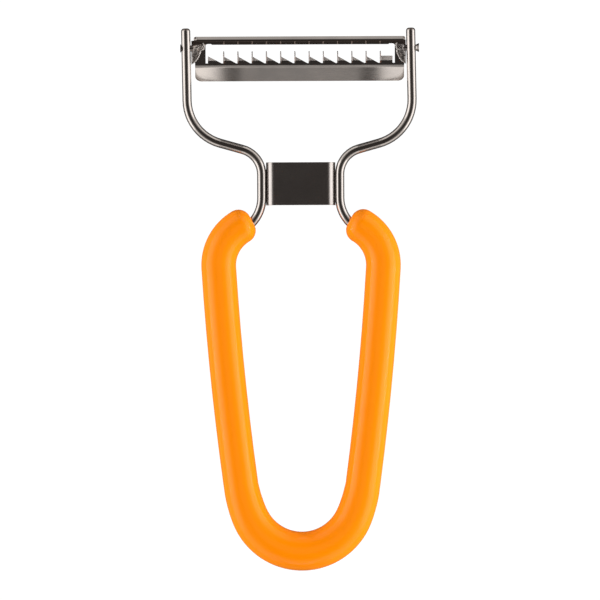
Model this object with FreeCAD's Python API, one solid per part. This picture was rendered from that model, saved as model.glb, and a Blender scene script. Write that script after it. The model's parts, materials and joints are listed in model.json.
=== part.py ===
import FreeCAD, Part

import math
import os

# Julienne peeler: a bent wire frame with a moulded grip on its loop, a folded plate between its
# necks, and a stamped head that swivels between its arms.
# Lengths are in millimetres and angles in degrees. While it is built, the part has x across it,
# y along it and z up, with 0 at the middle of the swivel axis. It is moved to its own origin last.

# Wire
wire_d = 3.1
arm_half = 37.5           # half the distance between the arms, on the swivel axis
arm_shift = 0.55          # both arms are bent this far to the left at the swivel axis
arm_angle = 0.95
arm_tip = 6.65            # arm above the swivel axis
shoulder_r = 15.0
shoulder_angle = 15.7     # slope of the shoulders
armpit_r = 8.7
neck_half = 13.0
neck_top = -42.1
neck_straight = 7.8
neck_bend_r = 12.0
neck_angle = 45.0
inner_run = 10.36         # straight wire inside the grip, from the neck bend to the leg bend
leg_bend_r = 12.0
tip_round = 0.95

# Legs and toe of the loop, shared by the wire and the grip
leg_top_angle = 3.6       # lean of the legs where they start
leg_low_angle = 7.69      # and where the heel starts
leg_length = 70.24        # along the curve of the wire, between those two places
heel_angle = 22.65
heel_r = 45.0

# Grip
grip_d = 11.6
toe_width = 13.0          # width of the grip across the bottom of the loop
grip_top_angle = 3.5      # lean of the leg where the grip's upper bend starts
grip_bend_r = 15.0
nose_angle = 60.9
nose_stub = 3.9
nose_round = 4.2
toe_stations = 24

# Neck plate
plate_height = 14.3
plate_above = 4.0         # plate above the straight part of the necks
plate_t = 0.8
plate_bend_r = 2.7        # outside radius of its two bends
plate_depth = 4.4
plate_drop = 1.0          # centre of the bends below the middle of the wire
weld_gap = 0.02

# Head: sheet
sheet_t = 0.5
head_gap = 1.05           # between the wire and the band, halfway between the gaps at its two ends
head_shift = 0.2          # band and rail are this far to the left
rail_over = 0.35          # rail past the band at each end
rail_corner_r = 0.8
band_corner_r = 2.1
band_width = 5.9
band_angle = 24.0
fold_r = 2.4              # along the middle of the sheet, as the two below
foot_r = 0.7
crest_r = 0.35
strip_edge = -2.85        # flat of the strip, and the tops of its triangles
bevel_back = -4.4
blank_edge = -1.2         # edge of the sheet before the teeth were slit and folded
notch_floor = -5.25
fold_y = -6.2             # where the band starts
slot_top = 1.1
crest_y = 2.7             # rail, along the middle of the sheet
crest_z = 0.24
lip_width = 1.5
lip_angle = 51.8
bevel_edge_t = 0.08

# Head: window and teeth
web_width = 3.35          # between the window and the ends of the band
window_corner_r = 0.8
strip_gap = 0.75          # slots at the ends of the saw of triangles
tooth_count = 12
first_bay = 5.35          # strip before the first tooth
last_bay = 4.0            # and after the last
tooth_height = 3.2
tooth_tip_back = 0.45     # tip behind the front edge of a tooth
tooth_edge_t = 0.35
slit_gap = 0.45
relief_length = 2.0
relief_depth = 0.3

# Head: pins and ears
pin_d = 2.0
pin_wall = 0.38
pin_gap = 0.05            # running clearance round the pin
pin_root = 0.6            # pin inside the ear
pin_flare = 0.05          # start of the spread, past the outside of the wire
pin_seam = 0.3
pin_seam_angle = 49.0
pin_out_right = 1.1       # pin past the outside of the wire
pin_out_left = 0.35
spread_d = 3.05           # spread end of the pin
cup_edge = 0.15           # between the window and the hollow where the sheet is drawn into the pin
cup_y = 0.65
cup_r = 1.65
cup_rise = 0.25           # rim of the hollow above the sheet
cup_neck = 0.3            # end of the hollow inside the ear
ear_gap = 0.15            # between the ears and the wire
ear_reach = 5.4           # ear below the swivel axis
ear_width = 3.3
ear_t = 0.4
ear_rise = 0.85           # rim of the ear above the sheet
root_top = 2.45
root_lap = 1.0            # root inside the band's length

# Sizes that follow
wire_r = wire_d / 2
grip_r = grip_d / 2
leg_curve_r = leg_length / math.radians(leg_low_angle - leg_top_angle)
pin_r = pin_d / 2
hole_r = pin_r + pin_gap
sheet_mid = -(pin_r - sheet_t / 2)
sheet_top = sheet_mid + sheet_t / 2
sheet_low = sheet_mid - sheet_t / 2
band_mean = arm_half - wire_r - head_gap
band_half = {1: band_mean - head_shift, -1: band_mean + head_shift}
rail_half = {side: half + rail_over for side, half in band_half.items()}
window_half = band_mean - web_width
strip_half = window_half - strip_gap
tooth_pitch = (2 * strip_half - first_bay - last_bay) / (tooth_count - 1)
cup_x = window_half + cup_edge + cup_r
pin_out = {1: pin_out_right, -1: pin_out_left}
far = 2 * arm_half        # past the head in every direction


def vec(x, y, z=0.0):
    return FreeCAD.Vector(x, y, z)


def heading(angle):
    return vec(math.cos(math.radians(angle)), math.sin(math.radians(angle)))


class Route:
    # A flat run of straight lines and tangent arcs, drawn from a point and a direction.
    def __init__(self, start, angle):
        self.at = start
        self.angle = angle
        self.edges = []

    def forward(self, length):
        end = self.at + heading(self.angle) * length
        self.edges.append(Part.LineSegment(self.at, end).toShape())
        self.at = end

    def centre_of_turn(self, radius, turn):
        side = 90 if turn > 0 else -90
        return self.at + heading(self.angle + side) * radius

    def turn(self, radius, turn):
        # Positive turns go to the left.
        centre = self.centre_of_turn(radius, turn)
        spoke = self.at - centre
        middle = centre + rotated(spoke, turn / 2)
        end = centre + rotated(spoke, turn)
        self.edges.append(Part.Arc(self.at, middle, end).toShape())
        self.at = end
        self.angle += turn
        return centre


def rotated(spoke, angle):
    c = math.cos(math.radians(angle))
    s = math.sin(math.radians(angle))
    return vec(spoke.x * c - spoke.y * s, spoke.x * s + spoke.y * c, spoke.z)


def mirrored(shape):
    return shape.mirror(vec(0, 0), vec(1, 0))


def rod(edge, radius):
    # Round bar along a straight line or an arc.
    start = edge.valueAt(edge.FirstParameter)
    tangent = edge.tangentAt(edge.FirstParameter)
    if edge.Curve.TypeId == "Part::GeomLine":
        return Part.makeCylinder(radius, edge.Length, start, tangent)
    disc = Part.Face(Part.Wire(Part.Circle(start, tangent, radius).toShape()))
    angle = math.degrees(edge.Length / edge.Curve.Radius)
    return disc.revolve(edge.Curve.Center, edge.Curve.Axis, angle)


def joined(shapes):
    return shapes[0].fuse(shapes[1:]).removeSplitter()


def extruded(points, direction):
    return Part.Face(Part.makePolygon(points + [points[0]])).extrude(direction)


def block(low, high):
    size = high - low
    return Part.makeBox(size.x, size.y, size.z, low)


def all_above(z):
    return block(vec(-far, -far, z), vec(far, far, far))


# Arms. In what follows a side is 1 on the right and -1 on the left, where shapes are made as on
# the right and then mirrored.

def arm_x(side, y):
    return arm_half - side * arm_shift - side * y * math.tan(math.radians(arm_angle))


def wire_out(side):
    return arm_x(side, 0) + wire_r


def ear_face(side):
    # Clear of the arm all the way along the ear.
    return min(arm_x(side, -ear_reach), arm_x(side, root_top)) - wire_r - ear_gap


def on_side(side, shape):
    return shape if side > 0 else mirrored(shape)


# Route of the wire: up from the neck to the tip of the arm, and down to the bottom of the loop

def arm_route(side):
    slope = shoulder_angle
    lean = side * arm_angle
    run = shoulder_run(side, slope, lean)
    route = Route(vec(neck_half, neck_top), 90)
    route.turn(armpit_r, slope - 90)
    route.forward(run)
    route.turn(shoulder_r, 90 + lean - slope)
    route.forward((arm_tip - route.at.y) / math.cos(math.radians(lean)))
    return route


def shoulder_run(side, slope, lean):
    # Length of the straight shoulder that brings the arm to its place on the swivel axis.
    probe = Route(vec(neck_half, neck_top), 90)
    probe.turn(armpit_r, slope - 90)
    probe.turn(shoulder_r, 90 + lean - slope)
    missing = arm_x(side, probe.at.y) - probe.at.x
    along = heading(slope)
    return missing / (along.x + along.y * math.tan(math.radians(lean)))


def loop_route():
    route = Route(vec(neck_half, neck_top), -90)
    route.forward(neck_straight)
    route.turn(neck_bend_r, neck_angle)
    route.forward(inner_run)
    route.turn(leg_bend_r, -(neck_angle + leg_top_angle))
    leg_centre = route.turn(leg_curve_r, -(leg_low_angle - leg_top_angle))
    toe = loop_end(route)
    return route, leg_centre, toe


def loop_end(route):
    # Heel and toe: the toe's radius closes the loop on the middle of the part.
    heel_start = route.at
    route.turn(heel_r, -(heel_angle - leg_low_angle))
    toe_r = route.at.x / math.cos(math.radians(heel_angle))
    route.turn(toe_r, -(90 - heel_angle))
    return heel_start, toe_r, route.at


def make_wire_frame(route):
    rods = [rod(edge, wire_r) for edge in route.edges]
    rods += [mirrored(shape) for shape in rods]
    tips = []
    for side in (1, -1):
        arm = arm_route(side)
        rods += [on_side(side, rod(edge, wire_r)) for edge in arm.edges]
        tips.append(vec(side * arm.at.x, arm.at.y))
    wire = joined(rods)
    ends = [edge for edge in wire.Edges if min((edge.CenterOfMass - tip).Length for tip in tips) < 1e-3]
    wire = wire.makeFillet(tip_round, ends)
    return wire.cut(Part.makeCylinder(hole_r, 2 * far, vec(-far, 0), vec(1, 0)))


# Grip

def make_grip(leg_centre, toe, frame):
    heel_start, toe_r, bottom = toe
    upper = Route(heel_start, 90 - leg_low_angle)
    upper.turn(leg_curve_r, leg_low_angle - grip_top_angle)
    upper.turn(grip_bend_r, grip_top_angle + nose_angle)
    upper.forward(nose_stub)
    half = joined([rod(edge, grip_r) for edge in upper.edges])
    nose = [edge for edge in half.Edges if (edge.CenterOfMass - upper.at).Length < 1e-3]
    half = half.makeFillet(nose_round, nose)
    whole = joined([half, mirrored(half), make_toe(heel_start, toe_r)])
    return whole.cut(frame)


def make_toe(heel_start, toe_r):
    # Bottom of the loop, round where it leaves the legs and wider across its middle.
    route = Route(heel_start, -90 - leg_low_angle)
    route.turn(heel_r, -(heel_angle - leg_low_angle))
    route.turn(toe_r, -2 * (90 - heel_angle))
    route.turn(heel_r, -(heel_angle - leg_low_angle))
    path = Part.Wire(route.edges)
    sections = []
    for i in range(toe_stations + 1):
        share = i / toe_stations
        at, tangent = place_on(route.edges, share * path.Length)
        half = grip_r + (toe_width / 2 - grip_r) * math.sin(math.pi * share)
        across = vec(0, 0, 1).cross(tangent)
        ring = Part.Wire(Part.Ellipse(vec(0, 0), half, grip_r).toShape())
        turn = FreeCAD.Rotation(across, vec(0, 0, 1), tangent, "XYZ")
        ring.Placement = FreeCAD.Placement(at, turn)
        sections.append(ring)
    return Part.makeLoft(sections, True, False)


def place_on(edges, distance):
    for edge in edges[:-1]:
        if distance <= edge.Length:
            break
        distance -= edge.Length
    else:
        edge = edges[-1]
    where = edge.getParameterByLength(min(distance, edge.Length))
    return edge.valueAt(where), edge.tangentAt(where)


# Sheet metal profiles

def sheet_face(corners, radii, thickness):
    # A band of even thickness about a line with rounded corners. The corners are vectors in one
    # plane, and radii are those of the middle line at the inner corners.
    normal_of_plane = (corners[1] - corners[0]).cross(corners[-1] - corners[0]).normalize()
    stations = []
    directions = [(b - a).normalize() for a, b in zip(corners, corners[1:])]
    sides = [normal_of_plane.cross(d) for d in directions]
    stations.append([(corners[0], sides[0])])
    for i, radius in enumerate(radii):
        before = directions[i]
        after = directions[i + 1]
        corner = corners[i + 1]
        turn = before.getAngle(after)
        tangent = radius * math.tan(turn / 2)
        bisector = (after - before).normalize()
        centre = corner + bisector * (radius / math.cos(turn / 2))
        mid_side = (sides[i] + sides[i + 1]).normalize()
        middle = centre - bisector * radius
        stations.append([(corner - before * tangent, sides[i]), (middle, mid_side),
                         (corner + after * tangent, sides[i + 1])])
    stations.append([(corners[-1], sides[-1])])
    upper = side_edges(stations, thickness / 2)
    lower = side_edges(stations, -thickness / 2)
    first = Part.LineSegment(lower[0], upper[0]).toShape()
    last = Part.LineSegment(upper[-1], lower[-1]).toShape()
    edges = upper[1:-1] + [last] + lower[1:-1][::-1] + [first]
    return Part.Face(Part.Wire(Part.sortEdges(edges)[0]))


def side_edges(stations, offset):
    points = [[at + side * offset for at, side in station] for station in stations]
    edges = []
    for here, there in zip(points, points[1:]):
        edges.append(Part.LineSegment(here[-1], there[0]).toShape())
        if len(there) == 3:
            edges.append(Part.Arc(*there).toShape())
    return [points[0][0]] + edges + [points[-1][0]]


# Neck plate: a channel whose bends touch the necks

def make_neck_plate():
    reach = wire_r + plate_bend_r + weld_gap
    bend_x = neck_half - math.sqrt(reach ** 2 - plate_drop ** 2)
    outside = bend_x + plate_bend_r
    top = plate_bend_r - plate_drop
    x = outside - plate_t / 2
    z_high = top - plate_t / 2
    z_low = top - plate_depth
    y = neck_top + plate_above - plate_height
    corners = [vec(-x, y, z_low), vec(-x, y, z_high), vec(x, y, z_high), vec(x, y, z_low)]
    face = sheet_face(corners, [plate_bend_r - plate_t / 2] * 2, plate_t)
    return face.extrude(vec(0, plate_height))


# Head

def head_profile():
    drop = heading(180 + band_angle) * band_width
    corners = [vec(0, fold_y + drop.x, sheet_mid + drop.y), vec(0, fold_y, sheet_mid),
               vec(0, slot_top, sheet_mid), vec(0, crest_y, crest_z), lip_end()]
    return sheet_face(corners, [fold_r, foot_r, crest_r], sheet_t)


def lip_end():
    drop = heading(-lip_angle) * lip_width
    return vec(0, crest_y + drop.x, crest_z + drop.y)


def tooth_left(i):
    return first_bay - strip_half + i * tooth_pitch - sheet_t / 2


def window_outline():
    # Runs along the top of the slot, down the right relief and back along the saw of triangles.
    w = window_half
    inner = w - relief_length
    high = slot_top + relief_depth
    points = [vec(-w, high), vec(-inner, high), vec(-inner, slot_top), vec(inner, slot_top),
              vec(inner, high), vec(w, high)]
    points += [vec(w, notch_floor), vec(strip_half, notch_floor), vec(strip_half, strip_edge)]
    for i in reversed(range(tooth_count)):
        left = tooth_left(i)
        points += [vec(left, strip_edge), vec(left, notch_floor), vec(left - slit_gap, notch_floor)]
        start = tooth_left(i - 1) if i else -strip_half
        points.append(vec(start, strip_edge))
    points += [vec(-strip_half, notch_floor), vec(-w, notch_floor)]
    return tidy_outline(points)


def make_window():
    window = extruded([point - vec(0, 0, far) for point in window_outline()], vec(0, 0, 2 * far))
    corners = [edge for edge in window.Edges if is_window_corner(edge)]
    return window.makeFillet(window_corner_r, corners)


def is_window_corner(edge):
    middle = edge.CenterOfMass
    at_top = abs(middle.y - slot_top - relief_depth) < 1e-6
    return at_top and abs(abs(middle.x) - window_half) < 1e-6


def tidy_outline(points):
    # Drops a point that repeats the one before it.
    kept = [points[0]]
    for point in points[1:]:
        if (point - kept[-1]).Length > 1e-6:
            kept.append(point)
    return kept


def make_tooth(i):
    left = tooth_left(i)
    high = sheet_top + tooth_height
    side = [vec(left, notch_floor, sheet_low), vec(left, blank_edge, sheet_low),
            vec(left, blank_edge, sheet_top), vec(left, blank_edge - tooth_tip_back, high),
            vec(left, notch_floor, sheet_top)]
    blade = extruded(side, vec(sheet_t, 0))
    plan = [vec(left, notch_floor, sheet_low), vec(left, blank_edge, sheet_low),
            vec(left + tooth_edge_t, blank_edge, sheet_low), vec(left + sheet_t, bevel_back, sheet_low),
            vec(left + sheet_t, notch_floor, sheet_low)]
    ground = extruded(plan, vec(0, 0, high - sheet_low))
    return blade.common(ground)


def make_bevel():
    edge_z = sheet_low + bevel_edge_t
    points = [vec(-window_half, bevel_back, sheet_top), vec(-window_half, blank_edge, edge_z),
              vec(-window_half, blank_edge, sheet_top)]
    return extruded(points, vec(2 * window_half, 0))


def make_pin(side):
    # A rolled tube with a seam, spread at its tip.
    tip = wire_out(side) + pin_out[side]
    neck = wire_out(side) + pin_flare
    root = ear_face(side) - pin_root
    spread_r = spread_d / 2
    bore_r = pin_r - pin_wall
    outline = [vec(root, bore_r), vec(root, pin_r), vec(neck, pin_r), vec(tip, spread_r),
               vec(tip, spread_r - pin_wall), vec(neck, bore_r)]
    tube = Part.Face(Part.makePolygon(outline + [outline[0]])).revolve(vec(0, 0), vec(1, 0), 360)
    seam = block(vec(root, -pin_seam / 2, 0), vec(tip, pin_seam / 2, spread_d))
    seam.rotate(vec(0, 0), vec(1, 0), -pin_seam_angle)
    return on_side(side, tube.cut(seam))


def cup_solid(side, inset):
    # Drop shape that narrows from the end web to the root of the pin.
    start = vec(cup_x, cup_y)
    end = vec(ear_face(side) - cup_neck, 0)
    axis = end - start
    ball = Part.makeSphere(cup_r - inset, start)
    cone = Part.makeCone(cup_r - inset, pin_r - inset, axis.Length, start, axis)
    return ball.fuse(cone)


def make_cup(side):
    hollow = cup_solid(side, pin_wall)
    space = hollow.cut(all_above(sheet_top))
    shell = cup_solid(side, 0).cut([hollow, all_above(sheet_top + cup_rise)])
    return on_side(side, shell), on_side(side, space)


def ear_solid(side, inset):
    # A spindle about a line that leans towards the wire: full at the pin, pointed at its low end.
    # Its outline is an arc that is as wide at half the length as it is at the start.
    start = vec(ear_face(side) - ear_width / 2, 0, sheet_top + ear_rise)
    end = vec(ear_face(side), -ear_reach, sheet_top + ear_rise)
    length = (end - start).Length
    along = (end - start).normalize()
    out = vec(along.y, -along.x)
    sunk = (length ** 2 / 2 - (ear_width / 2) ** 2) / ear_width
    arc_r = math.hypot(length * 3 / 4, sunk) - inset
    first = start + out * (math.sqrt(arc_r ** 2 - (length / 4) ** 2) - sunk)
    middle = start + along * (length / 4) + out * (arc_r - sunk)
    last = start + along * (length / 4 + math.sqrt(arc_r ** 2 - sunk ** 2))
    outline = [Part.Arc(first, middle, last).toShape(), Part.makeLine(last, start)]
    outline.append(Part.makeLine(start, first))
    return Part.Face(Part.Wire(outline)).revolve(start, along, 360)


def make_ear(side):
    # The lower half of the spindle, hollow, with its mouth at the pin.
    outer = ear_solid(side, 0)
    beside = block(vec(ear_face(side), -far, -far), vec(far, far, far))
    shell = outer.cut([ear_solid(side, ear_t), all_above(sheet_top + ear_rise), beside])
    return on_side(side, shell), on_side(side, outer)


def make_root(side):
    # Flat of the end web that reaches the wire, above the ear.
    start = band_half[side] - root_lap
    plate = block(vec(start, 0, sheet_low), vec(ear_face(side), root_top, sheet_top))
    return on_side(side, plate)


def trim_ends(sheet):
    # The rail keeps its full length, and the webs and the band are shorter with rounded corners.
    for side in (1, -1):
        cut = block(vec(band_half[side], -far, -far), vec(far, slot_top, far))
        sheet = sheet.cut(on_side(side, cut))
    sheet = sheet.makeFillet(band_corner_r, [edge for edge in sheet.Edges if is_band_corner(edge)])
    return sheet.makeFillet(rail_corner_r, [edge for edge in sheet.Edges if is_rail_corner(edge)])


def is_band_corner(edge):
    middle = edge.BoundBox.Center
    reach = fold_y - band_width * math.cos(math.radians(band_angle))
    at_end = min(abs(middle.x - band_half[1]), abs(middle.x + band_half[-1])) < 1e-6
    return at_end and edge.Length < sheet_t * 1.5 and middle.y < reach + sheet_t


def is_rail_corner(edge):
    middle = edge.BoundBox.Center
    at_end = min(abs(middle.x - rail_half[1]), abs(middle.x + rail_half[-1])) < 1e-6
    return at_end and (middle - vec(middle.x, 0) - lip_end()).Length < sheet_t / 4


def make_head():
    sheet = head_profile().extrude(vec(rail_half[1] + rail_half[-1], 0))
    sheet.translate(vec(-rail_half[-1], 0))
    sheet = trim_ends(sheet)
    sheet = sheet.cut([make_window(), make_bevel()])
    added = [make_tooth(i) for i in range(tooth_count)]
    for side in (1, -1):
        ear, ear_space = make_ear(side)
        cup, cup_space = make_cup(side)
        sheet = sheet.cut(ear_space).fuse(make_root(side)).cut(cup_space)
        added += [ear, cup.cut(ear_space), make_pin(side)]
    head = joined([sheet] + added)
    head.rotate(vec(0, 0), vec(1, 0), rest_angle())
    return head


def rest_angle():
    # The head hangs from its pins with the low corner of the band on the surface under the grip.
    drop = heading(180 + band_angle) * band_width
    low = heading(270 + band_angle) * (sheet_t / 2)
    corner = vec(fold_y + drop.x - low.x, sheet_mid + drop.y + low.y)
    reach = corner.Length
    lean = math.degrees(math.atan2(-corner.y, -corner.x))
    return math.degrees(math.asin(grip_r / reach)) - lean


# The part's own origin is on the surface it lies on, under the middle of its box.

def build():
    route, leg_centre, toe = loop_route()
    frame = make_wire_frame(route)
    nodes = {
        "wire_frame": frame,
        "grip": make_grip(leg_centre, toe, frame),
        "neck_plate": make_neck_plate(),
        "blade_head": make_head(),
    }
    mid_x = (wire_out(1) + pin_out_right - wire_out(-1) - pin_out_left) / 2
    mid_y = (arm_top() + toe[2].y - toe_width / 2) / 2
    os.makedirs("parts", exist_ok=True)
    for name, shape in nodes.items():
        shape.translate(vec(-mid_x, -mid_y, grip_r))
        shape.exportStep("parts/" + name + ".step")
        box = shape.BoundBox
        print(name, shape.ShapeType, len(shape.Solids), shape.isValid(), round(shape.Volume, 2))
        print("  x %.2f %.2f  y %.2f %.2f" % (box.XMin, box.XMax, box.YMin, box.YMax),
              " z %.2f %.2f" % (box.ZMin, box.ZMax))
    print("origin at", round(mid_x, 3), round(mid_y, 3), "rest angle", round(rest_angle(), 3),
          "toe radius", round(toe[1], 3))


def arm_top():
    # The end of a leaning arm is square to it, so its outer side is a little higher.
    rad = math.radians(arm_angle)
    return arm_tip + (wire_r - tip_round) * math.sin(rad) - tip_round * (1 - math.cos(rad))


build()
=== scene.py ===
import json
import math
import bpy
from mathutils import Matrix, Vector, noise


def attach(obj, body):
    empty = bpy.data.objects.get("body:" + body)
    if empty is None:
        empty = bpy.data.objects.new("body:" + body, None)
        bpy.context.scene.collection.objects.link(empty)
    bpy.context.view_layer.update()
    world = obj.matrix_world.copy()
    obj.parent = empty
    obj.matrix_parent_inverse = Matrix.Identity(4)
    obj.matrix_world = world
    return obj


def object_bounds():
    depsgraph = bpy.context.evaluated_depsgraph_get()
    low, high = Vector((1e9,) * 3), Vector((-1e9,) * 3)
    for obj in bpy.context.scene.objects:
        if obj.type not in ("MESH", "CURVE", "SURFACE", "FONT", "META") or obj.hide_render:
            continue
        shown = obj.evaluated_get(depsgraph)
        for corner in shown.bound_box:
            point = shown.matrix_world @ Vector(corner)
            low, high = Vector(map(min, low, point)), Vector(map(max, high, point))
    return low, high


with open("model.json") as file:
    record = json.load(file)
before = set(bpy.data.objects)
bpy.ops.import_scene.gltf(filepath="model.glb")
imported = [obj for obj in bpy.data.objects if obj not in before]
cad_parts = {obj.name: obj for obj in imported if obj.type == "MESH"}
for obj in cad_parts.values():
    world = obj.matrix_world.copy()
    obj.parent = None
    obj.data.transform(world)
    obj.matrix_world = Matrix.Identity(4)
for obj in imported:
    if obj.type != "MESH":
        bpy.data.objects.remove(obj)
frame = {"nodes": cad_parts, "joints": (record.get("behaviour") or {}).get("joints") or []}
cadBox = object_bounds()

# Julienne peeler, looked at from straight above as it lies on a pale table. Lengths are in metres.

scene = bpy.context.scene
nodes = frame["nodes"]
swivel = frame["joints"][0]["pos_m"]  # middle of the axis that the head turns about


# Small helpers for node trees

def addNode(tree, kind, **settings):
    node = tree.nodes.new(kind)
    for name, value in settings.items():
        setattr(node, name, value)
    return node


def plug(tree, value, socket):
    # Links a socket, or sets a plain value.
    if isinstance(value, bpy.types.NodeSocket):
        tree.links.new(value, socket)
    else:
        socket.default_value = value


def mathNode(tree, operation, *values):
    node = addNode(tree, "ShaderNodeMath", operation=operation)
    for value, socket in zip(values, node.inputs):
        plug(tree, value, socket)
    return node.outputs[0]


def product(tree, first, *others):
    for value in others:
        first = mathNode(tree, "MULTIPLY", first, value)
    return first


def total(tree, first, *others):
    for value in others:
        first = mathNode(tree, "ADD", first, value)
    return first


def vectorNode(tree, operation, *vectors):
    node = addNode(tree, "ShaderNodeVectorMath", operation=operation)
    for value, socket in zip(vectors, node.inputs):
        plug(tree, value, socket)
    return node.outputs


def split(tree, vector):
    node = addNode(tree, "ShaderNodeSeparateXYZ")
    tree.links.new(vector, node.inputs[0])
    return node.outputs


def joined(tree, *values):
    node = addNode(tree, "ShaderNodeCombineXYZ")
    for value, socket in zip(values, node.inputs):
        plug(tree, value, socket)
    return node.outputs[0]


def spread(tree, value, low, high, start, end, kind="SMOOTHSTEP"):
    # Takes low..high to start..end, and holds the ends.
    node = addNode(tree, "ShaderNodeMapRange", interpolation_type=kind)
    plug(tree, value, node.inputs["Value"])
    for label, number in (("From Min", low), ("From Max", high), ("To Min", start), ("To Max", end)):
        plug(tree, number, node.inputs[label])
    return node.outputs["Result"]


def rise(tree, value, low, high):
    return spread(tree, value, low, high, 0.0, 1.0)


def fall(tree, value, low, high):
    return spread(tree, value, low, high, 1.0, 0.0)


def objectPlace(tree):
    return addNode(tree, "ShaderNodeTexCoord").outputs["Object"]


def cloudNode(tree, place, scale, detail):
    node = addNode(tree, "ShaderNodeTexNoise")
    node.inputs["Scale"].default_value = scale
    node.inputs["Detail"].default_value = detail
    tree.links.new(place, node.inputs["Vector"])
    return node.outputs["Fac"]


def colourMix(tree, share, first, second):
    node = addNode(tree, "ShaderNodeMix", data_type="RGBA")
    plug(tree, share, node.inputs["Factor"])
    plug(tree, first, node.inputs[6])   # the node's two colours, which share their names
    plug(tree, second, node.inputs[7])  # with its other sockets
    return node.outputs[2]


def roughFrom(tree, value, look):
    least = look["roughness"] - look["roughSpread"] / 2
    return mathNode(tree, "MULTIPLY_ADD", value, look["roughSpread"], least)


def bumpFrom(tree, height, depth):
    bump = addNode(tree, "ShaderNodeBump")
    bump.inputs["Strength"].default_value = 1.0
    bump.inputs["Distance"].default_value = depth
    tree.links.new(height, bump.inputs["Height"])
    return bump


def addShaders(tree, first, second):
    node = addNode(tree, "ShaderNodeAddShader")
    tree.links.new(first.outputs[0], node.inputs[0])
    tree.links.new(second.outputs[0], node.inputs[1])
    return node


def newMaterial(name):
    material = bpy.data.materials.new(name)
    material.use_nodes = True
    tree = material.node_tree
    return material, tree, tree.nodes["Principled BSDF"]


def dress(piece, material):
    piece.data.materials.clear()
    piece.data.materials.append(material)


# Shared effects

sharedLook = {
    "grainDetail": 3.0,
    "cloudScale": 130.0,          # clouds per metre
    "cloudDetail": 4.0,
    "roundSamples": 6,
}


def newGroup(name, inputs, outputs):
    group = bpy.data.node_groups.new(name, "ShaderNodeTree")
    for label, start in inputs:
        socket = group.interface.new_socket(name=label, in_out="INPUT", socket_type="NodeSocketFloat")
        socket.default_value = start
    for label in outputs:
        group.interface.new_socket(name=label, in_out="OUTPUT", socket_type="NodeSocketFloat")
    return group, group.nodes.new("NodeGroupInput").outputs, group.nodes.new("NodeGroupOutput").inputs


def makeGrainGroup():
    # Fine drawn-out grain: lines per metre along and across the sheet.
    group, given, result = newGroup(
        "metalGrain", [("LinesAcross", 9000.0), ("LinesAlong", 400.0)], ["Grain", "Cloud"])
    place = objectPlace(group)
    lines = joined(group, given["LinesAlong"], given["LinesAcross"], given["LinesAcross"])
    stretched = vectorNode(group, "MULTIPLY", place, lines)[0]
    grain = cloudNode(group, stretched, 1.0, sharedLook["grainDetail"])
    cloud = cloudNode(group, place, sharedLook["cloudScale"], sharedLook["cloudDetail"])
    group.links.new(grain, result["Grain"])
    group.links.new(cloud, result["Cloud"])
    return group


def makeEdgeGroup():
    # 1 where the surface turns sharply within the given radius, and 0 on its flats.
    group, given, result = newGroup("edgeWear", [("Radius", 0.0002), ("Sharpness", 3.0)], ["Edge"])
    rounded = addNode(group, "ShaderNodeBevel", samples=sharedLook["roundSamples"])
    group.links.new(given["Radius"], rounded.inputs["Radius"])
    here = addNode(group, "ShaderNodeNewGeometry").outputs["Normal"]
    alike = vectorNode(group, "DOT_PRODUCT", rounded.outputs[0], here)["Value"]
    turn = product(group, mathNode(group, "SUBTRACT", 1.0, alike), given["Sharpness"])
    held = addNode(group, "ShaderNodeClamp")
    group.links.new(turn, held.inputs["Value"])
    group.links.new(held.outputs[0], result["Edge"])
    return group


def placeGroup(tree, group, **values):
    node = addNode(tree, "ShaderNodeGroup", node_tree=group)
    for name, value in values.items():
        node.inputs[name].default_value = value
    return node.outputs


grainGroup = makeGrainGroup()
edgeGroup = makeEdgeGroup()
print("shared effects made")


# Steel

def steel(name, look, extraRough=None, bentNormal=None, zones=None):
    # The last three are functions that add to the roughness, give the normal under the grain,
    # and list masks with their tints.
    material, tree, shader = newMaterial(name)
    grain = placeGroup(tree, grainGroup, LinesAcross=look["linesAcross"], LinesAlong=look["linesAlong"])
    edge = placeGroup(tree, edgeGroup, Radius=look["edgeRadius"], Sharpness=look["edgeSharpness"])
    colour = colourMix(tree, grain["Cloud"], look["tint"], look["cloudTint"])
    colour = colourMix(tree, edge["Edge"], colour, look["edgeTint"])
    for zone, tint in (zones(tree) if zones else []):
        colour = colourMix(tree, zone, colour, tint)
    tree.links.new(colour, shader.inputs["Base Color"])
    rough = roughFrom(tree, grain["Grain"], look)
    if extraRough:
        rough = total(tree, rough, extraRough(tree))
    tree.links.new(rough, shader.inputs["Roughness"])
    shader.inputs["Metallic"].default_value = 1.0
    bump = bumpFrom(tree, grain["Grain"], look["grainDepth"])
    if bentNormal:
        tree.links.new(bentNormal(tree), bump.inputs["Normal"])
    tree.links.new(bump.outputs[0], shader.inputs["Normal"])
    return material


wireLook = {
    "tint": (0.555, 0.515, 0.485, 1.0),
    "cloudTint": (0.48, 0.445, 0.42, 1.0),
    "edgeTint": (0.555, 0.515, 0.485, 1.0),
    "tipShadeTint": (0.20, 0.155, 0.13, 1.0),   # painted shade on the arms' domed ends
    "tipLength": 0.0008,
    "linesAcross": 700.0,
    "linesAlong": 700.0,
    "edgeRadius": 0.0002,
    "edgeSharpness": 3.0,
    "roughness": 0.17,
    "roughSpread": 0.04,
    "grainDepth": 0.000001,
}


def armTipShade(tree):
    end = cadBox[1][1]  # the arms reach furthest along y
    along = split(tree, objectPlace(tree))["Y"]
    # Painted shade: the arms' ends are darkened.
    tips = rise(tree, along, end - wireLook["tipLength"], end - wireLook["tipLength"] / 2)
    return [(tips, wireLook["tipShadeTint"])]


dress(nodes["wire_frame"], steel("polishedWire", wireLook, zones=armTipShade))
print("wire dressed")

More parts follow.
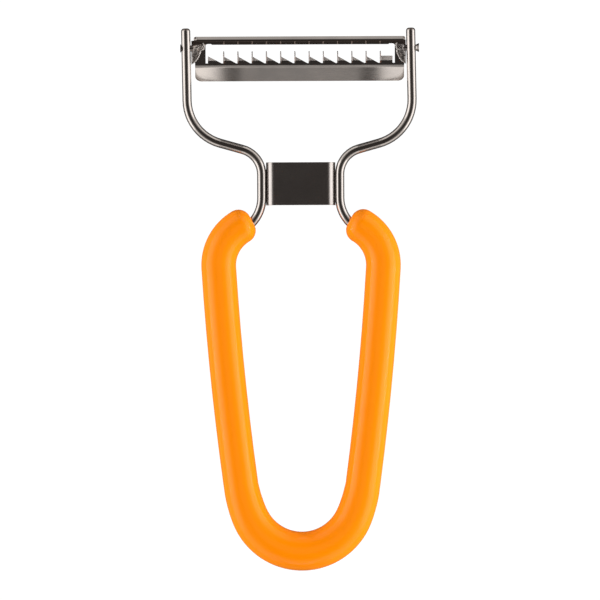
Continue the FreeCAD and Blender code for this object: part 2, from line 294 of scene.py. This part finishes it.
plateLook = {
    "tint": (0.58, 0.54, 0.515, 1.0),
    "cloudTint": (0.40, 0.37, 0.355, 1.0),
    "edgeTint": (0.72, 0.69, 0.67, 1.0),
    "linesAcross": 8000.0,
    "linesAlong": 250.0,
    "edgeRadius": 0.00015,
    "edgeSharpness": 3.0,
    "roughness": 0.25,
    "roughSpread": 0.08,
    "grainDepth": 0.000001,
    "edgeRound": 0.0003,
    "bendLean": (0.3, 0.6),       # sideways part of the normal, early and late in a bend
    "bendTurn": (1.3, 0.85),      # and by how much it is turned there
}


def foldedNormal(tree):
    # Rounded edges, and bends that turn faster at first, and less in all, than a true arc.
    rounded = addNode(tree, "ShaderNodeBevel", samples=sharedLook["roundSamples"])
    rounded.inputs["Radius"].default_value = plateLook["edgeRound"]
    facing = split(tree, rounded.outputs[0])
    lean = mathNode(tree, "ABSOLUTE", facing["X"])
    turn = spread(tree, lean, *plateLook["bendLean"], *plateLook["bendTurn"])
    bent = joined(tree, product(tree, facing["X"], turn), facing["Y"], facing["Z"])
    return vectorNode(tree, "NORMALIZE", bent)[0]


dress(nodes["neck_plate"], steel("polishedPlate", plateLook, bentNormal=foldedNormal))
print("neck plate dressed")

# The head's places are from the swivel axis, along the head's own sheet. Its leans are parts of the
# normal as it is at rest: y points away from the grip, and z up.
headLook = {
    "tint": (0.62, 0.575, 0.54, 1.0),
    "cloudTint": (0.39, 0.37, 0.36, 1.0),
    "edgeTint": (0.74, 0.71, 0.69, 1.0),
    "linesAcross": 7000.0,
    "linesAlong": 260.0,
    "edgeRadius": 0.00012,
    "edgeSharpness": 2.5,
    "roughness": 0.18,
    "roughSpread": 0.08,
    "grainDepth": 0.0000008,
    "restAngle": 12.347,          # degrees that the head leans by as it lies
    "bandStart": -0.0056,
    "bandFade": 0.0009,
    "bandRough": -0.06,
    "bandFlat": 0.0185,           # half of the band's flat middle
    "bandHalf": 0.035,
    "bandCrown": 0.085,           # turn of its face at its ends, as a slope
    "endReach": 0.006,
    "endLift": 0.06,              # and the lift there
    "foldLength": 0.0004,         # along the band's fold
    "foldFade": 0.0009,
    "foldLean": (0.5, 0.6),       # z
    "foldTurn": 0.16,
    "bevelBack": -0.0044,         # ground bevel of the toothed strip
    "bevelFront": -0.0012,
    "bevelHalf": 0.0309,
    "bevelFade": 0.0002,
    "bevelRough": 0.55,
    "bevelTint": (0.80, 0.76, 0.74, 1.0),
    "toothLean": (0.3, 0.5),      # x
    # painted shade on the teeth's upright faces
    "toothShadeTint": (0.14, 0.125, 0.115, 1.0),
    "railStart": 0.0009,
    "railFade": 0.0004,
    "railRough": -0.11,
    "railLean": (0.0, 0.1),       # y, from the rail's inner side to its outer one
    # painted shade, brownish, on the rail's inner side
    "railShadeTint": (0.40, 0.335, 0.30, 1.0),
    "footLean": (-0.26, -0.34),   # y, where the rail's foot starts
    "footEnd": (-0.67, -0.61),
    # painted shade in the foot of the rail
    "footShadeTint": (0.10, 0.08, 0.07, 1.0),
    "slopeLean": (-0.55, -0.65),  # y, on the rail's inner slope
    "slopeLift": 0.085,
    "outerLean": (0.1, 0.2),      # y, on its outer side
    "cornerFrom": 0.0342,
    "cornerFade": 0.0005,
    "cornerTurn": 0.42,           # turn of its rolled corners
    "pinFrom": 0.0388,
    "pinFade": 0.0001,
    # painted shade on the pins
    "pinShadeTint": (0.22, 0.20, 0.19, 1.0),
}


def turned(tree, vector, start, end):
    node = addNode(tree, "ShaderNodeVectorTransform", vector_type="NORMAL",
                   convert_from=start, convert_to=end)
    tree.links.new(vector, node.inputs[0])
    return node.outputs[0]


def headMasks(tree):
    # Where the head's parts are and how its surface faces, as it is at rest.
    own = addNode(tree, "ShaderNodeMapping", vector_type="TEXTURE")
    own.inputs["Location"].default_value = swivel
    own.inputs["Rotation"].default_value = (math.radians(headLook["restAngle"]), 0.0, 0.0)
    tree.links.new(objectPlace(tree), own.inputs["Vector"])
    place = split(tree, own.outputs[0])
    side = mathNode(tree, "ABSOLUTE", place["X"])
    here = addNode(tree, "ShaderNodeNewGeometry").outputs["Normal"]
    normal = turned(tree, here, "WORLD", "OBJECT")
    band, back, front, half, rail = [
        headLook[key] for key in ("bandStart", "bevelBack", "bevelFront", "bevelHalf", "railStart")]
    fade = headLook["bevelFade"]
    return {
        "place": place,
        "side": side,
        "normal": normal,
        "facing": split(tree, normal),
        "band": rise(tree, place["Y"], band, band - headLook["bandFade"]),
        "bevel": product(tree, rise(tree, place["Y"], back, back + fade),
                         fall(tree, place["Y"], front, front + fade),
                         fall(tree, side, half, half + fade)),
        "rail": rise(tree, place["Y"], rail, rail + headLook["railFade"]),
    }


def headZones(tree):
    head = headMasks(tree)
    lean = head["facing"]["Y"]
    upright = rise(tree, mathNode(tree, "ABSOLUTE", head["facing"]["X"]), *headLook["toothLean"])
    inner = fall(tree, lean, *headLook["railLean"])
    foot = product(tree, rise(tree, lean, *headLook["footLean"]),
                   rise(tree, lean, *headLook["footEnd"]))
    pins = rise(tree, head["side"], headLook["pinFrom"], headLook["pinFrom"] + headLook["pinFade"])
    return [
        (head["bevel"], headLook["bevelTint"]),
        # painted shade on the upright faces of the teeth
        (product(tree, upright, head["bevel"]), headLook["toothShadeTint"]),
        # painted shade on the inner side of the rail
        (product(tree, head["rail"], inner), headLook["railShadeTint"]),
        # painted shade in the rail's foot
        (product(tree, head["rail"], foot), headLook["footShadeTint"]),
        # painted shade on the pins at the head's ends
        (pins, headLook["pinShadeTint"]),
    ]


def headRoughness(tree):
    # The band and the rail are shinier than the flats, and the ground bevels are the dullest.
    head = headMasks(tree)
    return total(tree, *[product(tree, head[part], headLook[part + "Rough"])
                         for part in ("band", "bevel", "rail")])


def crownedNormal(tree):
    # Slight turns of the face: the band's towards its ends and in its fold, and the rail's on its
    # inner slope and at its corners.
    head = headMasks(tree)
    side, facing, along = head["side"], head["facing"], head["place"]["Y"]
    crown = spread(tree, side, headLook["bandFlat"], headLook["bandHalf"],
                   0.0, headLook["bandCrown"], "LINEAR")
    corner = spread(tree, side, headLook["cornerFrom"], headLook["cornerFrom"] + headLook["cornerFade"],
                    0.0, headLook["cornerTurn"])
    outer = rise(tree, facing["Y"], *headLook["outerLean"])
    outward = total(tree, product(tree, crown, head["band"]),
                    product(tree, corner, head["rail"], outer))
    outward = product(tree, outward, mathNode(tree, "SIGN", head["place"]["X"]))
    start = headLook["bandStart"]
    middle = start - headLook["foldLength"]
    fold = product(tree, rise(tree, along, start, middle),
                   fall(tree, along, middle, start - headLook["foldFade"]),
                   rise(tree, facing["Z"], *headLook["foldLean"]), -headLook["foldTurn"])
    slope = product(tree, head["rail"], rise(tree, facing["Y"], *headLook["slopeLean"]),
                    headLook["slopeLift"])
    ends = spread(tree, side, headLook["bandHalf"] - headLook["endReach"], headLook["bandHalf"],
                  0.0, headLook["endLift"])
    lift = total(tree, slope, product(tree, ends, head["band"]))
    bent = vectorNode(tree, "ADD", head["normal"], joined(tree, outward, fold, lift))[0]
    return vectorNode(tree, "NORMALIZE", turned(tree, bent, "OBJECT", "WORLD"))[0]


stampedSteel = steel("stampedSteel", headLook, headRoughness, crownedNormal, headZones)
dress(nodes["blade_head"], stampedSteel)
print("head dressed")


# Crumpled skin of the ears and cups, where the sheet is drawn up beside the wire and into the pins.
# Places are from the swivel axis, in the head's own frame, on the right. A side is 1 or -1.
earLook = {
    "middle": -0.00053,           # of the two ears, from the swivel's middle
    "face": 0.03573,
    "width": 0.0033,
    "reach": 0.0054,
    "wall": 0.0004,
    "rim": 0.00035,
    "rows": 64,
    "columns": 56,
    "covered": 0.86,              # share of the ear's length under the skin
    "wireGap": 0.00004,
    "sink": 0.00005,              # border of the skin inside the metal
    "border": 1 / 9,              # share of the skin that rises from there
    "backing": 0.00014,           # thickness of the skin
    "ridge": 0.00013,             # height of its ridges
    "ridgePitch": 0.00046,        # and their distance
    "ridgeLeast": 0.45,           # share of their height that is the same all over
    "ridgePatch": (1500.0, 2.5, 3.0),
    "sway": 0.75,                 # how much they wander, as a share of their distance
    "swayPatch": (700.0, 1.3, 5.0),
}
cupLook = {
    "place": (0.03335, 0.00065),
    "radius": 0.00127,
    "top": -0.0005,
    "clear": 0.00002,
    "pinBore": 0.00062,
    "pinStart": 0.0003,           # from the ear's face
    "creases": 0.00052,           # their height
    "creasePatch": (1900.0, 7.0),
    "border": 1 / 6,
}


def headPoint(side, place):
    lean = Matrix.Rotation(math.radians(headLook["restAngle"]), 3, "X")
    return Vector(swivel) + lean @ Vector((side * place[0], place[1], place[2]))


def sideName(name, side):
    return name + ("Right" if side > 0 else "Left")


def earFace(side):
    return earLook["face"] + side * earLook["middle"]


def earAxis(side):
    start = Vector((earFace(side) - earLook["width"] / 2, 0.0, earLook["rim"]))
    end = Vector((earFace(side), -earLook["reach"], earLook["rim"]))
    return start, (end - start).normalized(), (end - start).length


def earRadius(along, length, inset):
    # The ear is round like a spindle: its outline is an arc, widest at a quarter of its length.
    sunk = (length ** 2 / 2 - (earLook["width"] / 2) ** 2) / earLook["width"]
    arc = math.hypot(length * 3 / 4, sunk) - inset
    return math.sqrt(arc ** 2 - (along - length / 4) ** 2) - sunk


def earPoint(side, along, angle, radius):
    start, axis = earAxis(side)[:2]
    out = Vector((axis.y, -axis.x, 0.0)) * math.cos(angle) - Vector((0, 0, math.sin(angle)))
    return start + axis * along + out * radius


def addPiece(name, data, material=stampedSteel):
    piece = bpy.data.objects.new(name, data)
    scene.collection.objects.link(piece)
    dress(piece, material)
    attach(piece, "head")


def makeShell(name, front, back, side, material=stampedSteel):
    # A closed thin skin between two grids of points.
    rows = len(front)
    columns = len(front[0])
    count = rows * columns
    points = [headPoint(side, place) for grid in (front, back) for row in grid for place in row]
    faces = []
    for i in range(rows - 1):
        for j in range(columns - 1):
            a = i * columns + j
            quad = (a, a + 1, a + columns + 1, a + columns)
            faces.append(quad)
            faces.append(tuple(count + corner for corner in reversed(quad)))
    rim = list(range(columns)) + [i * columns + columns - 1 for i in range(1, rows)]
    rim += [(rows - 1) * columns + j for j in reversed(range(columns - 1))]
    rim += [i * columns for i in reversed(range(1, rows - 1))]
    for a, b in zip(rim, rim[1:] + rim[:1]):
        faces.append((b, a, count + a, count + b))
    mesh = bpy.data.meshes.new(name)
    mesh.from_pydata(points, [], faces)
    if side < 0:
        mesh.flip_normals()
    mesh.polygons.foreach_set("use_smooth", [True] * len(mesh.polygons))
    addPiece(name, mesh, material)


def patchNoise(patch, first, second, third):
    return noise.noise(Vector((first * patch[0], second * patch[1], third * patch[2])))


def borderMask(u, v):
    # 0 on the border of a patch and 1 inside it.
    near = min(1.0, min(u, 1 - u, v, 1 - v) / earLook["border"])
    return near ** 2 * (3 - 2 * near)


def earSkin(side):
    start, axis, length = earAxis(side)
    front = []
    back = []
    for i in range(earLook["rows"]):
        u = i / (earLook["rows"] - 1)
        along = u * length * earLook["covered"]
        radius = earRadius(along, length, earLook["wall"])
        room = (earFace(side) - (start + axis * along).x - earLook["wireGap"]) / (abs(axis.y) * radius)
        widest = math.pi - math.acos(min(1.0, room))
        front.append([])
        back.append([])
        for j in range(earLook["columns"]):
            v = j / (earLook["columns"] - 1)
            angle = v * widest
            sway = patchNoise(earLook["swayPatch"], along, angle, side) * earLook["sway"]
            ridge = 0.5 + 0.5 * math.sin(2 * math.pi * (angle * radius / earLook["ridgePitch"] + sway))
            height = patchNoise(earLook["ridgePatch"], along, angle, 1.0)
            ridge *= earLook["ridgeLeast"] + (1 - earLook["ridgeLeast"]) * height
            raised = borderMask(u, v) * (earLook["sink"] + abs(ridge) * earLook["ridge"])
            front[-1].append(earPoint(side, along, angle, radius + earLook["sink"] - raised))
            back[-1].append(earPoint(side, along, angle, radius + earLook["backing"]))
    makeShell(sideName("earSkin", side), front, back, side)


def cupFloor(side, x, y):
    # Height of the hollow's floor: a ball that runs on as a cone to the pin.
    radius = cupLook["radius"]
    middle = Vector(cupLook["place"])
    axis = Vector((earFace(side) - cupLook["pinStart"], 0.0)) - middle
    length = axis.length
    axis.normalize()
    place = Vector((x, y)) - middle
    along = place.dot(axis)
    across = abs(place.cross(axis))
    ball = radius ** 2 - place.length_squared
    cone = -1.0
    if 0 <= along <= length:
        cone = (radius + (cupLook["pinBore"] - radius) * along / length) ** 2 - across ** 2
    return -math.sqrt(max(ball, cone, 0.0))


def cupSkin(side, material):
    cupX, cupY = cupLook["place"]
    reach = math.sqrt(cupLook["radius"] ** 2 - cupLook["top"] ** 2) - cupLook["clear"]
    scale, seed = cupLook["creasePatch"]
    front = []
    back = []
    rows = earLook["rows"]
    for i in range(rows):
        front.append([])
        back.append([])
        for j in range(rows):
            # A square of points, drawn in to a disc.
            a = 2 * i / (rows - 1) - 1
            b = 2 * j / (rows - 1) - 1
            dx = a * math.sqrt(1 - b * b / 2) * reach
            dy = b * math.sqrt(1 - a * a / 2) * reach
            inside = min(1.0, max(0.0, 1 - math.hypot(dx, dy) / reach) / cupLook["border"])
            floor = cupFloor(side, cupX + dx, cupY + dy)
            crease = abs(patchNoise((scale, scale, seed), dx, dy, side)) * cupLook["creases"]
            lift = crease * inside - earLook["sink"] * (1 - inside)
            front[-1].append((cupX + dx, cupY + dy, floor + lift))
            back[-1].append((cupX + dx, cupY + dy, floor - earLook["backing"]))
    makeShell(sideName("cupSkin", side), front, back, side, material)


# Rims of the ears and cups, tinted pale: painted highlight along them.
rimLook = {
    "tint": (0.92, 0.88, 0.85, 1.0),
    "cloudTint": (0.80, 0.76, 0.73, 1.0),
    "edgeTint": (0.92, 0.88, 0.85, 1.0),
    "linesAcross": 3000.0,
    "linesAlong": 3000.0,
    "edgeRadius": 0.0001,
    "edgeSharpness": 1.0,
    "roughness": 0.5,
    "roughSpread": 0.1,
    "grainDepth": 0.000001,
    "bead": 0.00024,              # half of a rim's thickness
    "earSteps": 60,
    "earSpan": (0.04, 0.97),      # shares of the ear's length
    "earSwell": 0.15,
    "earWaves": 9.0,
    "earTaper": (4.0, 1.04),      # how fast it thins, and the share of the rim where it would end
    "cupSteps": 80,
    "cupRadius": 0.00144,
    "cupHeight": -0.00027,
    "cupSpan": (80.0, 275.0),     # degrees
    "cupPatch": (2.2, 3.0, 1.0),
    "cupSway": (0.00008, 0.00005),
    "cupSwell": (0.8, 0.35),
    "cupTaper": (6.0, 0.1),
}
# A pale material: painted highlight on the rims and on the left hollow.
paintedHighlightSteel = steel("paintedHighlightSteel", rimLook)


def makeBead(name, side, places, sizes):
    # A smooth rounded rim along the given places.
    curve = bpy.data.curves.new(name, "CURVE")
    curve.dimensions = "3D"
    curve.bevel_depth = 1.0
    curve.bevel_resolution = 5
    curve.use_fill_caps = True
    spline = curve.splines.new("POLY")
    spline.points.add(len(places) - 1)
    for point, place, size in zip(spline.points, places, sizes):
        point.co = (*headPoint(side, place), 1.0)
        point.radius = size
    spline.use_smooth = True
    addPiece(name, curve, paintedHighlightSteel)


def earRim(side):
    length = earAxis(side)[2]
    first, last = rimLook["earSpan"]
    swell = rimLook["earSwell"]
    speed, end = rimLook["earTaper"]
    places = []
    sizes = []
    for i in range(rimLook["earSteps"]):
        share = i / (rimLook["earSteps"] - 1)
        along = (first + (last - first) * share) * length
        radius = earRadius(along, length, earLook["wall"] / 2)
        places.append(earPoint(side, along, 0.0, max(radius, 0.0)))
        thickness = 1 - swell + swell * math.cos(share * rimLook["earWaves"])
        sizes.append(rimLook["bead"] * thickness * min(1.0, speed * (end - share)))
    makeBead(sideName("earRim", side), side, places, sizes)


def cupRim(side):
    cupX, cupY = cupLook["place"]
    first, last = rimLook["cupSpan"]
    outSway, upSway = rimLook["cupSway"]
    thickness, swell = rimLook["cupSwell"]
    speed, least = rimLook["cupTaper"]
    places = []
    sizes = []
    for i in range(rimLook["cupSteps"]):
        share = i / (rimLook["cupSteps"] - 1)
        angle = math.radians(first + (last - first) * share)
        wave = patchNoise(rimLook["cupPatch"], angle, side, 1.0)
        radius = rimLook["cupRadius"] + wave * outSway
        places.append((cupX + radius * math.cos(angle), cupY + radius * math.sin(angle),
                       rimLook["cupHeight"] + wave * upSway))
        taper = min(1.0, speed * share + least, speed * (1 - share) + least)
        sizes.append(rimLook["bead"] * (thickness + swell * wave) * taper)
    makeBead(sideName("cupRim", side), side, places, sizes)


for side, cupSteel in ((1, stampedSteel), (-1, paintedHighlightSteel)):  # the left hollow gets the pale material: painted highlight on its crumple
    earSkin(side)
    cupSkin(side, cupSteel)
    earRim(side)
    cupRim(side)
print("ears and cups crumpled")


# Grip

gripLook = {
    "colour": (1.0, 0.25, 0.0, 1.0),
    "paleColour": (1.0, 0.268, 0.0, 1.0),
    "roughness": 0.22,
    "roughSpread": 0.05,
    "shine": 0.25,
    "skinScale": 5200.0,          # fine matt skin, cells per metre
    "skinDetail": 2.0,
    "skinDepth": 0.000003,
    "cloudScale": 90.0,
    "cloudDetail": 5.0,
}


def orangeElastomer(look):
    material, tree, shader = newMaterial("orangeElastomer")
    place = objectPlace(tree)
    skin = cloudNode(tree, place, look["skinScale"], look["skinDetail"])
    cloud = cloudNode(tree, place, look["cloudScale"], look["cloudDetail"])
    colour = colourMix(tree, cloud, look["colour"], look["paleColour"])
    tree.links.new(colour, shader.inputs["Base Color"])
    tree.links.new(roughFrom(tree, cloud, look), shader.inputs["Roughness"])
    shader.inputs["Specular IOR Level"].default_value = look["shine"]
    tree.links.new(bumpFrom(tree, skin, look["skinDepth"]).outputs[0], shader.inputs["Normal"])
    return material


dress(nodes["grip"], orangeElastomer(gripLook))
print("grip dressed")


# Table

tableLook = {
    "size": 12.0,
    "below": 0.007,               # room for the head to turn over the table
    "light": 0.55,                # how light it is to the grip
    "seen": 1.05,                 # and to the camera
    "dark": 0.06,                 # to the metal it is a pale gloss that mirrors the room
    "gloss": (0.15, 0.15, 0.15, 1.0),
    "rough": 0.25,
}


def makeTable(look):
    half = look["size"] / 2
    corners = [(-half, -half, 0), (half, -half, 0), (half, half, 0), (-half, half, 0)]
    mesh = bpy.data.meshes.new("table")
    mesh.from_pydata(corners, [], [(0, 1, 2, 3)])
    table = bpy.data.objects.new("table", mesh)
    table.location.z = -look["below"]
    scene.collection.objects.link(table)
    material, tree, shader = newMaterial("paleTable")
    tree.nodes.remove(shader)
    path = addNode(tree, "ShaderNodeLightPath").outputs
    shine = addNode(tree, "ShaderNodeEmission")
    strength = mathNode(tree, "MULTIPLY_ADD", path["Is Camera Ray"],
                        look["seen"] - look["light"], look["light"])
    tree.links.new(strength, shine.inputs["Strength"])
    dark = addNode(tree, "ShaderNodeEmission")
    dark.inputs["Strength"].default_value = look["dark"]
    gloss = addNode(tree, "ShaderNodeBsdfAnisotropic")
    gloss.inputs["Color"].default_value = look["gloss"]
    gloss.inputs["Roughness"].default_value = look["rough"]
    either = addNode(tree, "ShaderNodeMixShader")
    tree.links.new(path["Is Glossy Ray"], either.inputs[0])
    tree.links.new(shine.outputs[0], either.inputs[1])
    tree.links.new(addShaders(tree, dark, gloss).outputs[0], either.inputs[2])
    tree.links.new(either.outputs[0], tree.nodes["Material Output"].inputs["Surface"])
    dress(table, material)


# Panels to the left and right, which the metal mirrors

panelLook = {
    "reach": 0.75,                # from the object
    "low": 0.04,
    "high": 0.78,
    "length": 0.95,
    "brightness": 0.98,           # of a panel's face
}


def makePanel(name, side, look):
    height = look["high"] - look["low"]
    light = bpy.data.lights.new(name, "AREA")
    light.shape = "RECTANGLE"
    light.size = look["length"]
    light.size_y = height
    light.energy = look["brightness"] * math.pi * look["length"] * height
    panel = bpy.data.objects.new(name, light)
    panel.location = (side * look["reach"], 0.0, (look["high"] + look["low"]) / 2)
    panel.rotation_euler = (math.radians(90), 0.0, math.radians(90 * side))
    panel.visible_camera = False
    scene.collection.objects.link(panel)


# Soft lights for the grip, which the metal doesn't mirror: place, size and watts

softLights = {
    "overhead": ((0.0, 0.0, 1.8), 1.2, 2.736),
    "softRight": ((1.0, -0.03, 0.21), 0.4, 9.2),
    "softLeft": ((-1.0, -0.03, 0.21), 0.4, 4.6),
    "softFar": ((0.0, 1.0, 0.3), 0.4, 1.1),
    "softNear": ((0.0, -1.0, 0.3), 0.4, 1.8),
}


def makeSoftLight(name, place, size, watts):
    light = bpy.data.lights.new(name, "AREA")
    light.shape = "DISK"
    light.size = size
    light.energy = watts
    lamp = bpy.data.objects.new(name, light)
    lamp.location = place
    lamp.rotation_euler = Vector(place).to_track_quat("Z", "Y").to_euler()
    lamp.visible_camera = False
    lamp.visible_glossy = False
    scene.collection.objects.link(lamp)


# The room around the table, dim overhead. A light's place is its direction: side is 0 straight
# beyond the head or the grip and 1 to the left and right, and height is 0 level and 1 overhead.
# Each number pair is where it fades in or out.
roomLook = {
    "tint": (1.0, 0.97, 0.94, 1.0),
    "ceilingTint": (1.0, 0.88, 0.82, 1.0),
    "ceiling": 0.042,
    "lights": [
        # low beside the panels
        {"strength": 1.05, "sideIn": (0.24, 0.36), "heightOut": (0.52, 0.74)},
        # high above the panels
        {"strength": 0.2, "sideIn": (0.4, 0.8), "heightIn": (0.55, 0.74), "heightOut": (0.84, 0.98)},
        # low beyond the head
        {"strength": 0.6, "end": "far", "sideOut": (0.06, 0.13), "heightOut": (0.2, 0.5)},
        # low beyond the grip, narrow, and wider on its two sides
        {"strength": 0.46, "end": "near", "sideOut": (0.01, 0.043),
         "heightIn": (0.19, 0.27), "heightOut": (0.35, 0.6)},
        {"strength": 1.4, "end": "near", "sideIn": (0.075, 0.115), "sideOut": (0.2, 0.25),
         "heightIn": (0.19, 0.27), "heightOut": (0.45, 0.58)},
        # higher up at both ends
        {"strength": 0.42, "sideOut": (0.3, 0.5), "heightIn": (0.4, 0.5), "heightOut": (0.6, 0.75)},
    ],
}


def makeRoom(look):
    world = bpy.data.worlds.new("room")
    scene.world = world
    world.use_nodes = True
    tree = world.node_tree
    background = tree.nodes["Background"]
    background.inputs["Color"].default_value = look["tint"]
    x, y, height = split(tree, addNode(tree, "ShaderNodeTexCoord").outputs["Generated"])
    level = mathNode(tree, "SQRT", total(tree, product(tree, x, x), product(tree, y, y)))
    side = mathNode(tree, "DIVIDE", mathNode(tree, "ABSOLUTE", x), level)
    near = mathNode(tree, "LESS_THAN", y, 0.0)
    ends = {"near": near, "far": mathNode(tree, "SUBTRACT", 1.0, near)}
    strengths = []
    for light in look["lights"]:
        masks = [ends[light["end"]]] if "end" in light else []
        for key, fade, value in (("sideIn", rise, side), ("sideOut", fall, side),
                                 ("heightIn", rise, height), ("heightOut", fall, height)):
            if key in light:
                masks.append(fade(tree, value, *light[key]))
        strengths.append(product(tree, light["strength"], *masks))
    tree.links.new(total(tree, *strengths), background.inputs["Strength"])
    ceiling = addNode(tree, "ShaderNodeBackground")
    ceiling.inputs["Color"].default_value = look["ceilingTint"]
    ceiling.inputs["Strength"].default_value = look["ceiling"]
    both = addShaders(tree, background, ceiling)
    tree.links.new(both.outputs[0], tree.nodes["World Output"].inputs["Surface"])


# Camera

cameraLook = {
    "width": 0.2,                 # across the picture, at the height of the wire
    "left": -0.0004,              # middle of the picture, from the swivel axis
    "below": 0.084,
    "turn": -0.24,                # degrees
    "lens": 300.0,
    "sensor": 36.0,
    "clipEnd": 20.0,
}


def makeCamera(look):
    data = bpy.data.cameras.new("camera")
    data.lens = look["lens"]
    data.sensor_width = look["sensor"]
    data.clip_end = look["clipEnd"]
    camera = bpy.data.objects.new("camera", data)
    distance = look["width"] * look["lens"] / look["sensor"]
    camera.location = (swivel[0] + look["left"], swivel[1] - look["below"], swivel[2] + distance)
    camera.rotation_euler = (0.0, 0.0, math.radians(look["turn"]))
    scene.collection.objects.link(camera)
    scene.camera = camera


makeTable(tableLook)
makePanel("panelLeft", -1, panelLook)
makePanel("panelRight", 1, panelLook)
for name, (place, size, watts) in softLights.items():
    makeSoftLight(name, place, size, watts)
makeRoom(roomLook)
makeCamera(cameraLook)
scene.view_settings.view_transform = "Standard"
print("table, lights and camera placed")
